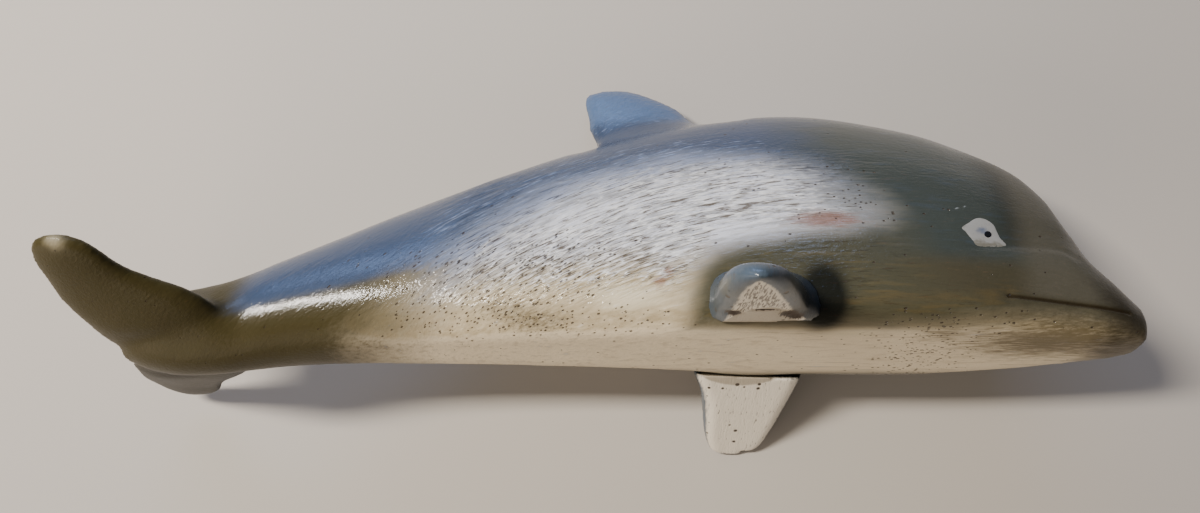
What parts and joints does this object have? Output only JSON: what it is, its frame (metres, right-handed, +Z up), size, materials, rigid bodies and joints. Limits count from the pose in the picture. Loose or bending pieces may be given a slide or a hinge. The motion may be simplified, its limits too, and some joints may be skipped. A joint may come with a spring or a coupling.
{
  "type": "carved dolphin figure",
  "caption": "Painted wooden dolphin carving lying on its side, with glued-on flippers, a curved dorsal fin and swept tail flukes.",
  "frame": {"origin": "on the supporting surface, under the middle of the bounding box of the carving as it lies", "axes": "+X towards the beak, +Z up, +Y towards the back of the animal as it lies on its left side"},
  "size_m": [0.3402, 0.1402, 0.1206],
  "materials": {
    "body_paint": "glossy lacquer over hand-brushed blue grey, silver white and cream paint, with open pores and raised strokes",
    "flipper_paint": "glossy lacquer over blue grey paint on top and cream paint underneath, rubbed and chipped at the tips"
  },
  "bodies": {
    "root": {"dolphin_body": "body_paint", "left_flipper": "flipper_paint", "right_flipper": "flipper_paint"}
  },
  "joints": []
}
